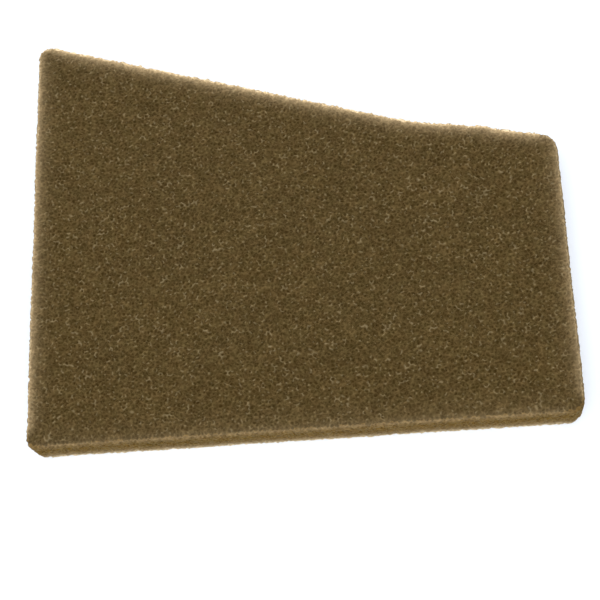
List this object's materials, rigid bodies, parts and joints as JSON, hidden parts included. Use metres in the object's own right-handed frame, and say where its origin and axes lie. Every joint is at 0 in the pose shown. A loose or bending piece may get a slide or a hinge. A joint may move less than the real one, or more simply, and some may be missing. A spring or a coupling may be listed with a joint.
{
  "type": "foam air filter element",
  "caption": "Flat die-cut slab of open-cell foam with a slanted, slightly bent upper edge and rounded corners, which filters the air going into a small engine.",
  "frame": {"origin": "middle of the outline's bounding box, on the rear face that the pad lies on", "axes": "+X along the straight lower edge from the tall end to the short end, +Y from that edge to the slanted upper edge, +Z through the thickness and out of the front face"},
  "size_m": [0.15, 0.1236, 0.012],
  "materials": {
    "foam": "matte"
  },
  "bodies": {
    "root": {"foam_pad": "foam"}
  },
  "joints": []
}
